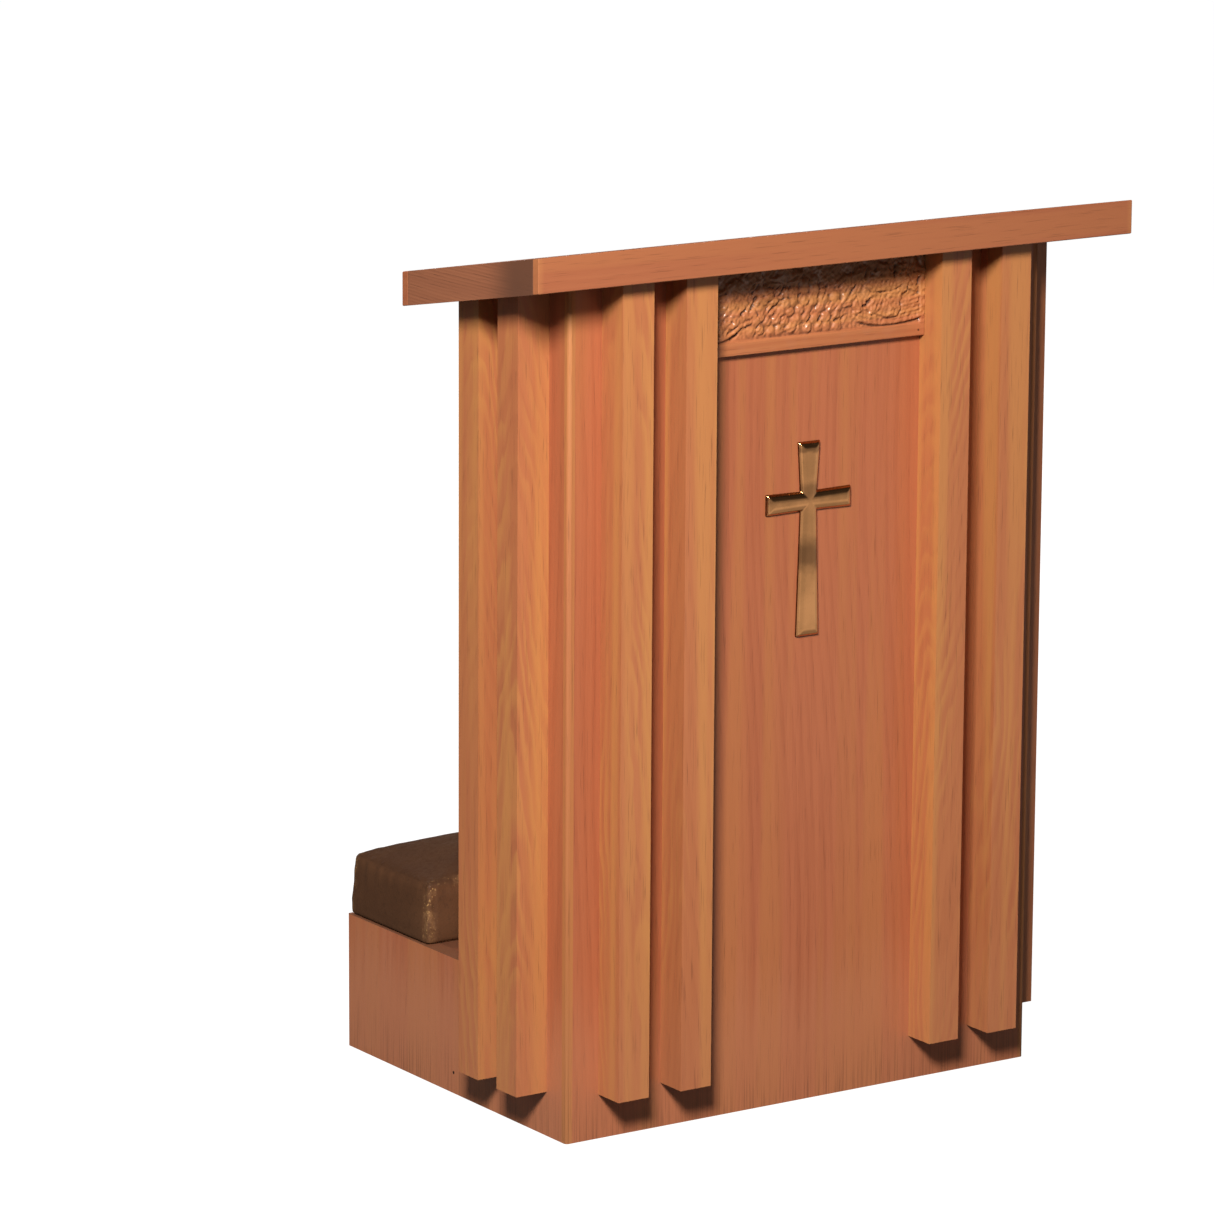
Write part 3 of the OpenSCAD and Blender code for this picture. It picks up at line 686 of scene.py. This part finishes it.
class Carving:
    """A height map in millimetres over a board: u from its middle, v from its foot."""

    def __init__(self, half, top, pitch):
        across = np.linspace(-half, half, int(2 * half / pitch) + 1)
        self.u, self.v = np.meshgrid(across, np.linspace(0, top, int(top / pitch) + 1))
        self.height = np.zeros_like(self.u)

    def away(self, points):
        """Distance from a smooth line to every place on the board."""
        line = smooth_line(points)
        nearest = np.full_like(self.u, 1e9)
        for a, b in zip(line, line[1:]):
            run = b - a
            t = ((self.u - a[0]) * run[0] + (self.v - a[1]) * run[1]) / max(run @ run, 1e-9)
            t = np.clip(t, 0, 1)
            nearest = np.minimum(nearest, np.hypot(self.u - a[0] - t * run[0], self.v - a[1] - t * run[1]))
        return nearest

    def ridge(self, points, width, top):
        """A rounded strand that stands up to the height top."""
        d = self.away(points) / width
        strand = top - 2.2 + 2.2 * np.sqrt(np.clip(1 - d * d, 0, 1))
        self.height = np.where(d < 1, np.maximum(self.height, strand), self.height)

    def groove(self, points, width, depth):
        """A V-shaped cut along a line."""
        self.height -= depth * np.clip(1 - self.away(points) / width, 0, 1) ** 0.8

    def grape(self, u, v, radius, top):
        d = np.hypot(self.u - u, self.v - v) / radius
        ball = top - radius * (1 - np.sqrt(np.clip(1 - d * d, 0, 1))) * 0.62
        self.height = np.where(d < 1, np.maximum(self.height, ball), self.height)

    def leaf(self, u, v, angle, size, top):
        """A five-lobed vine leaf with cut veins and a ruffled edge, its stalk end at (u, v)."""
        turn = math.radians(angle)
        du, dv = self.u - u, self.v - v
        x = du * math.cos(turn) + dv * math.sin(turn) - 0.35 * size
        y = dv * math.cos(turn) - du * math.sin(turn)
        around = np.arctan2(y, x)
        reach = size * (0.60 + 0.26 * np.cos(2.5 * around) ** 2 + 0.14 * np.cos(around)
                        + 0.035 * np.cos(19 * around))
        inside = step_up(reach - np.hypot(x, y), -0.3, 1.4)
        ruffle = 1.3 * np.cos(5 * around + 0.6) * np.hypot(x, y) / size + 0.45 * np.cos(0.75 * y + 0.3 * x)
        dish = -1.3 * (np.hypot(x, y) / size - 0.55) ** 2 * 4
        face = top + ruffle + dish
        for lobe in (0, 72, -72, 140, -140):
            bearing = math.radians(lobe)
            along = x * math.cos(bearing) + y * math.sin(bearing)
            aside = np.abs(y * math.cos(bearing) - x * math.sin(bearing))
            vein = np.exp(-(aside / 0.75) ** 2) * step_up(along, -1, 2) * step_up(size * 0.8 - along, 0, 4)
            side_vein = np.abs(((along - 0.8 * aside) % 5.2) - 2.6)
            near = step_up(along, 2, 5) * step_up(7.5 - aside, 0, 3)
            face = face - 1.3 * vein - 0.35 * near * np.exp(-(side_vein / 0.8) ** 2)
        self.height = self.height * (1 - inside) + np.maximum(face, self.height) * inside

    def blurred(self, reach):
        """The height map averaged over a distance, to find cuts and arrises."""
        pitch = self.u[0, 1] - self.u[0, 0]
        span = np.arange(-int(3 * reach / pitch), int(3 * reach / pitch) + 1) * pitch
        weight = np.exp(-(span / reach) ** 2 / 2)
        weight /= weight.sum()
        pad = len(span) // 2
        soft = np.pad(self.height, pad, mode="edge")
        soft = np.apply_along_axis(np.convolve, 0, soft, weight, "valid")
        return np.apply_along_axis(np.convolve, 1, soft, weight, "valid")


def carve_vine(board):
    """A vine: a leaf, a long bunch of grapes, a second leaf, and tendrils that curl off to the right."""
    rng = np.random.default_rng(7)
    u, v = board.u, board.v
    ground = step_up(v, 12.5, 15.5) * step_up(137 - np.abs(u), 0, 2.5)
    gouges = 0.25 * np.sin(u * 0.9 + 2.0 * np.sin(v * 0.35)) * np.sin(v * 0.8 + np.sin(u * 0.2))
    board.height -= ground * (2.4 + gouges)

    board.leaf(-66, 50, 152, 37, 0.4)
    board.leaf(-121, 30, 60, 27, 0.2)
    board.leaf(-44, 66, 25, 24, 0.0)
    board.leaf(50, 42, 68, 30, 0.3)
    board.leaf(76, 44, 22, 36, 0.5)
    board.leaf(112, 66, 8, 24, 0.1)

    for line in (((58, 23), (76, 18.5), (93, 17), (114, 18), (136, 21)),
                 ((60, 63), (72, 55), (87, 53), (100, 54), (112, 60)),
                 ((76, 30), (90, 25), (102, 25), (109, 31), (107, 39)),
                 ((96, 46), (106, 44), (112, 49), (110, 55)),
                 ((-134, 20), (-118, 18), (-104, 22), (-92, 30), (-80, 33)),
                 ((30, 62), (38, 68), (52, 71), (70, 74))):
        board.ridge(line, 2.3, 0.6)

    # flowing strands of the leaves on the right
    for i in range(5):
        lift = 4.6 * i
        strand = ((52, 27 + lift), (70, 21 + 0.9 * lift), (93, 20 + 0.8 * lift), (134, 25 + 0.9 * lift))
        board.ridge(strand, 2.2, -0.5 + 0.25 * (i % 2))
    for i in range(4):
        lift = 4.4 * i
        strand = ((58, 64 + 0.4 * lift), (73, 57 + 0.7 * lift), (90, 55 + lift), (118, 62 + lift))
        board.ridge(strand, 2.1, 0.0)
    # and of the leaf at the left end
    for i in range(5):
        strand = ((-136, 34 + 8 * i), (-120, 38 + 7 * i), (-100, 48 + 6 * i), (-84, 62 + 6 * i))
        board.ridge(strand, 2.3, -0.3)

    rows = ((21.5, -79, 33), (31, -73, 34), (40.5, -66, 33), (50, -50, 32), (59.5, -36, 22), (68, -26, 10))
    for i, (height, first, last) in enumerate(rows):
        for place in np.arange(first + (i % 2) * 2, last, 12.2):
            slip = rng.uniform(-2.2, 2.2, 2)
            board.grape(place + slip[0], height + slip[1], rng.uniform(5.0, 7.6), rng.uniform(-0.3, 1.3))

    # the deepest cuts, between leaves, stalks and grapes: line, width, depth
    for line, width, depth in (
            (((-79, 47), (-72, 58)), 1.6, 3.0), (((-91, 42.5), (-87, 45.5)), 2.0, 3.0),
            (((-104, 17.5), (-95, 22)), 1.5, 3.0), (((-77, 62), (-70, 71)), 1.8, 3.0),
            (((-45, 57), (-36, 66)), 1.7, 3.0), (((-56, 41), (-46, 49)), 1.5, 2.6),
            (((46, 50), (53, 60)), 1.5, 3.0), (((33, 60), (39, 67)), 1.5, 2.6),
            (((63, 37), (68, 38), (71, 44)), 1.8, 3.2), (((8, 60), (18, 62)), 1.5, 2.4),
            (((78, 28), (91, 22.5), (104, 22.5), (111.5, 29), (110, 38)), 1.0, 1.6),
            (((58, 20), (76, 15.8), (93, 14.5), (114, 15.2), (135, 18)), 0.9, 1.2),
            (((60, 60), (73, 51.5), (88, 50), (102, 51), (114, 57)), 0.9, 1.3),
            (((65, 68), (67, 75)), 2.0, 3.0), (((103, 66), (105, 75)), 2.0, 3.0),
            (((132, 54), (136, 63)), 1.4, 2.4)):
        board.groove(line, 1.35 * width, 1.2 * depth)

    # tool marks: short random waves a few millimetres long
    marks = np.zeros_like(u)
    for _ in range(16):
        bearing, length = rng.uniform(0, math.pi), rng.uniform(4.5, 11)
        phase = 2 * math.pi * (u * math.cos(bearing) + v * math.sin(bearing)) / length
        marks += np.sin(phase + rng.uniform(0, 6.3) + 1.2 * np.sin(phase * 0.37))
    board.height += 0.13 * marks * step_up(v, 14, 18)

    # small cuts between the grapes
    for _ in range(46):
        place = np.array([rng.uniform(-84, 38), rng.uniform(20, 70)])
        run = np.array([math.cos(0.85), math.sin(0.85)]) * rng.uniform(1.5, 3.5)
        board.groove((place - run, place + run), 1.3, rng.uniform(1.0, 2.4))
    board.height = np.clip(board.height, -5.5, 3.6)
    # long polishing has softened every cut
    board.height = 0.88 * board.blurred(0.5)


def make_frieze():
    """The carved board, replacing the plain carving of the CAD model."""
    lo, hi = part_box("carved_frieze")
    face_y = front_y - 8 * MM
    top = desk_underside(face_y) - lo.z
    board = Carving(hi.x / MM, top / MM, 0.75)
    carve_vine(board)
    # how far each place lies below its surroundings, which sets the painted shade in the cuts
    cavity = np.clip((board.blurred(2.2) - board.height) / 1.6, 0, 1)

    rows, columns = board.u.shape
    y = face_y - board.height * MM
    z = lo.z + board.v * MM
    # the top edge follows the slope of the desk top
    z[-1] = desk_underside(y[-1])
    front = np.stack([board.u * MM, y, z], axis=-1).reshape(-1, 3)
    index = np.arange(rows * columns).reshape(rows, columns)
    corners = [index[:-1, :-1], index[:-1, 1:], index[1:, 1:], index[1:, :-1]]
    quads = np.stack(corners, axis=-1).reshape(-1, 4)
    rim = np.concatenate([index[0, :-1], index[:-1, -1], index[-1, :0:-1], index[:0:-1, 0]])
    back = front[rim].copy()
    back[:, 1] = front_y
    back[:, 2] = np.minimum(back[:, 2], desk_underside(front_y))
    rear = len(front) + np.arange(len(rim))
    sides = [(rim[i], rear[i], rear[(i + 1) % len(rim)], rim[(i + 1) % len(rim)]) for i in range(len(rim))]
    mesh = bpy.data.meshes.new("vine_frieze")
    mesh.from_pydata(np.vstack([front, back]).tolist(), [], [*quads.tolist(), *sides, rear[::-1].tolist()])
    mesh.validate()
    for polygon in mesh.polygons:
        polygon.use_smooth = polygon.index < len(quads)
    store = mesh.attributes.new(CAVITY, "FLOAT", "POINT")
    store.data.foreach_set("value", np.concatenate([cavity.ravel(), np.zeros(len(rim))]))
    finish = wood("carved_vine", "x", 91, **CARVED, pith=(0.2, 0.3), rings=140, figure=0.3, roughness=0.5,
                  coat=0.4, carved=True)
    add_piece("vine_frieze", mesh, finish, "solid_wood", "carved_frieze")


# ---- pad ----

PAD_EDGE = 66 * MM                              # height of the sewn edge between walls and top


def leatherette(name, corner):
    """Dark brown leathercloth with a top darkened by painted shade, rubbed pale down its corner seams,
    and with a painted highlight along its upper front edge and painted glints on seams and edge.

    corner is the distance of the four corner seams from the pad's middle, along X and Y.
    """
    t = Tree(name)
    lo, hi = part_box("pad_cover")
    middle = (lo + hi) / 2
    q = t.mapped(t.place, move=(0.7, 0.3, 0.1))
    x, y, z = t.split(t.place)
    cloud = t.noise(q, scale=14, detail=3)
    mottle = t.noise(q, scale=190, detail=3, rough=0.65)
    cells = t.node("ShaderNodeTexVoronoi", feature="SMOOTH_F1")
    t.feed(cells.inputs["Vector"], q)
    cells.inputs["Scale"].default_value = 620
    pebble = cells.outputs["Distance"]

    colour = t.mix(t.ramp(cloud, 0.35, 0.68), lit(91, 60, 40), lit(101, 68, 46))
    colour = t.mix(t.ramp(mottle, 0.5, 0.72, 0, 0.5), colour, lit(76, 50, 34))
    # painted shade: the top is darker than the walls
    colour = t.mix(t.ramp(z, lo.z + 60 * MM, lo.z + 68 * MM, 0.0, 0.45), colour, lit(40, 26, 18))
    # rubbed places down the corner seams, and a painted highlight along the front edge between wall and top
    aside = t.math("SUBTRACT", t.math("ABSOLUTE", x), corner[0])
    away = t.math("SUBTRACT", t.math("ABSOLUTE", t.math("SUBTRACT", y, middle.y)), corner[1])
    seam = t.vector("LENGTH", t.join(aside, away, 0.0))
    low = t.ramp(z, hi.z - 18 * MM, hi.z - 24 * MM)
    rub_and_highlight = t.math("MULTIPLY", t.ramp(seam, 9.5 * MM, 3 * MM), low)
    edge = t.vector("LENGTH", t.join(0.0, t.math("SUBTRACT", y, lo.y + 4 * MM),
                                     t.math("SUBTRACT", z, lo.z + PAD_EDGE)))
    rub_and_highlight = t.math("MAXIMUM", rub_and_highlight, t.math("MULTIPLY", t.ramp(edge, 8 * MM, 1 * MM), 0.6))
    patchy = t.math("MULTIPLY", t.ramp(mottle, 0.3, 0.7), t.ramp(t.noise(q, scale=60, detail=2), 0.35, 0.6))
    wear_and_highlight = t.math("MULTIPLY", rub_and_highlight, patchy)
    colour = t.mix(t.math("MULTIPLY", wear_and_highlight, 0.8), colour, lit(160, 118, 80))
    # painted glints on the rubbed seams and the highlit front edge
    glint = t.math("MULTIPLY", rub_and_highlight, t.ramp(t.noise(q, scale=420, detail=2), 0.6, 0.72, 0.0, 0.7))
    colour = t.mix(glint, colour, lit(218, 172, 112))
    t.feed(t.shader.inputs["Base Color"], colour)
    t.feed(t.shader.inputs["Roughness"], t.math("ADD", t.ramp(mottle, 0.3, 0.7, 0.55, 0.7),
                                                t.math("MULTIPLY", wear_and_highlight, 0.12)))
    t.shader.inputs["Specular IOR Level"].default_value = 0.13
    height = t.math("MULTIPLY_ADD", mottle, 0.8, pebble)
    t.bump(height, 0.00025, 0.8)
    return t.material


def applied(piece):
    """Replaces a piece's mesh by what its modifiers make of it."""
    graph = bpy.context.evaluated_depsgraph_get()
    made = bpy.data.meshes.new_from_object(piece.evaluated_get(graph))
    piece.modifiers.clear()
    piece.data = made
    return made


def points_of(mesh):
    flat = np.empty(len(mesh.vertices) * 3)
    mesh.vertices.foreach_get("co", flat)
    return flat.reshape(-1, 3)


def inflate(piece, held, pressure, cap):
    """Swells a closed mesh as a pressurised cloth, holding some points, and caps every point's travel."""
    start = points_of(piece.data)
    group = piece.vertex_groups.new(name="held")
    for i, weight in enumerate(held):
        group.add([i], float(weight), "REPLACE")
    cloth = piece.modifiers.new("cloth", "CLOTH")
    cloth.settings.use_pressure = True
    cloth.settings.uniform_pressure_force = pressure
    cloth.settings.vertex_group_mass = "held"
    cloth.settings.pin_stiffness = 1.0
    cloth.settings.effector_weights.gravity = 0
    cloth.settings.quality = 5
    scene = bpy.context.scene
    last_frame = 20
    scene.frame_start, scene.frame_end = 1, last_frame
    for number in range(1, last_frame + 1):
        scene.frame_set(number)
    graph = bpy.context.evaluated_depsgraph_get()
    end = points_of(piece.evaluated_get(graph).data)
    piece.modifiers.clear()
    scene.frame_set(1)
    move = end - start
    travel = np.linalg.norm(move, axis=1, keepdims=True)
    move *= cap * np.tanh(travel / cap) / np.maximum(travel, 1e-9)
    piece.data.vertices.foreach_set("co", (start + move).ravel())
    piece.vertex_groups.clear()


def waves(along, seed, spacing):
    """A gentle random wave of height about 1 along a line, with crests about spacing apart."""
    rng = np.random.default_rng(seed)
    total = np.zeros_like(along)
    for _ in range(7):
        step = spacing * rng.uniform(0.6, 1.9)
        total += np.sin(2 * math.pi * along / step + rng.uniform(0, 6.3)) / 2.6
    return total


def make_pad():
    """The kneeling pad: foam under leathercloth, swelled by a cloth simulation, then sewn and puckered."""
    lo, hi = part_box("pad_cover")
    middle = (lo + hi) / 2
    half = (hi - lo) / 2
    mesh = nodes["pad_foam"].data.copy()
    start = points_of(mesh)
    start[:, 2] = np.where(start[:, 2] < lo.z + 16 * MM, lo.z + 0.4 * MM, start[:, 2])
    # widened to nearly the cover's own size, with its corners drawn out to a tight radius
    core = np.array([half.x, half.y]) - 14 * MM
    aside = start[:, :2] - np.array(middle.xy)
    past = np.maximum(np.abs(aside) - core, 0)
    reach = np.hypot(past[:, 0], past[:, 1])
    longest = np.maximum(past.max(axis=1), 1e-9)
    draw = 1 + 0.55 * (reach / longest - 1)
    grown = np.where(reach[:, None] > 6 * MM, past * draw[:, None] * (13.6 / 12.0), past)
    start[:, :2] = np.array(middle.xy) + np.sign(aside) * (np.minimum(np.abs(aside), core) + grown)
    mesh.vertices.foreach_set("co", start.ravel())
    cloth = leatherette("pad_leathercloth", (half.x - 4 * MM, half.y - 4 * MM))
    pad = add_piece("upholstered_pad", mesh, cloth, "pad_leatherette", "pad_cover", "pad_foam")
    weld = pad.modifiers.new("weld", "WELD")
    weld.merge_threshold = 0.01 * MM
    remesh = pad.modifiers.new("remesh", "REMESH")
    remesh.mode = "VOXEL"
    remesh.voxel_size = 4 * MM
    applied(pad)

    place = points_of(pad.data)
    foot = 1 - step_up(place[:, 2], lo.z + 3 * MM, lo.z + 14 * MM)
    seam = np.hypot(np.abs(place[:, 0]) - half.x, np.abs(place[:, 1] - middle.y) - half.y)
    corner = 0.7 * (1 - step_up(seam, 6 * MM, 22 * MM))
    inflate(pad, np.maximum(foot, corner), 3.0, 3 * MM)
    smoother = pad.modifiers.new("finer", "SUBSURF")
    smoother.levels = 1
    mesh = applied(pad)

    # the sewn edge between walls and top, with puckers that run off it, and a crease down each corner
    place = points_of(mesh)
    normal = np.empty(len(place) * 3)
    mesh.vertices.foreach_get("normal", normal)
    normal = normal.reshape(-1, 3)
    x, y, z = place[:, 0], place[:, 1] - middle.y, place[:, 2]
    inward = np.minimum(half.x - np.abs(x), half.y - np.abs(y))
    long_side = (half.y - np.abs(y)) < (half.x - np.abs(x))
    along = np.where(long_side, x, y)
    from_edge = np.hypot(inward - 2.5 * MM, z - (lo.z + PAD_EDGE))
    move = -0.9 * np.exp(-(from_edge / (1.6 * MM)) ** 2)
    move += 0.55 * waves(along, 5, 17 * MM) * np.exp(-from_edge / (14 * MM)) * step_up(from_edge, 0, 3 * MM)
    seam = np.hypot(np.abs(x) - half.x + 4 * MM, np.abs(y) - half.y + 4 * MM)
    wall = 1 - step_up(z, lo.z + 60 * MM, lo.z + PAD_EDGE)
    welt = 0.5 * np.exp(-(seam / (3 * MM)) ** 2)
    crease = 0.8 * np.exp(-((seam - 5.5 * MM) / (1.5 * MM)) ** 2)
    move += wall * (welt - crease)
    move += 0.35 * waves(z, 6, 19 * MM) * np.exp(-seam / (12 * MM)) * wall
    move += 0.5 * waves(x + 0.6 * y, 8, 95 * MM) * step_up(inward, 5 * MM, 40 * MM)
    move *= step_up(z, lo.z + 1.5 * MM, lo.z + 8 * MM)
    place = place + normal * (move * MM)[:, None]
    # the walls lean in from the hem to the top
    lean = 3.4 * MM - 3.0 * MM * step_up(z, lo.z + 2 * MM, lo.z + 72 * MM)
    outward = np.stack([np.sign(x) * step_up(np.abs(x), half.x - 30 * MM, half.x - 8 * MM),
                        np.sign(y) * step_up(np.abs(y), half.y - 30 * MM, half.y - 8 * MM)], axis=1)
    place[:, :2] += outward * lean[:, None]
    # the rear wall hangs a little over the kneeler
    place[:, 1] += 2.4 * MM * step_up(y, half.y - 30 * MM, half.y - 8 * MM)
    place[:, 2] = np.maximum(place[:, 2], lo.z + 0.3 * MM)
    mesh.vertices.foreach_set("co", place.ravel())
    for polygon in mesh.polygons:
        polygon.use_smooth = True
    mesh.update()


add_camera()
add_world()
add_floor()
add_area_light("key", place=(-2.2, -2.48, 2.58), aim=(-0.05, -0.15, 0.45), size=0.72, power=262,
               colour=(1, 0.95, 0.88))
add_area_light("rear_fill", place=(1.6, 3.6, 2.2), aim=(0.0, 0.0, 0.4), size=1.8, power=240,
               colour=(1, 0.96, 0.92), glossy=False)
dress_panels()
dress_solid_wood()
dress_metal()
make_cross()
make_frieze()
make_pad()

bpy.context.scene.view_settings.view_transform = "Standard"
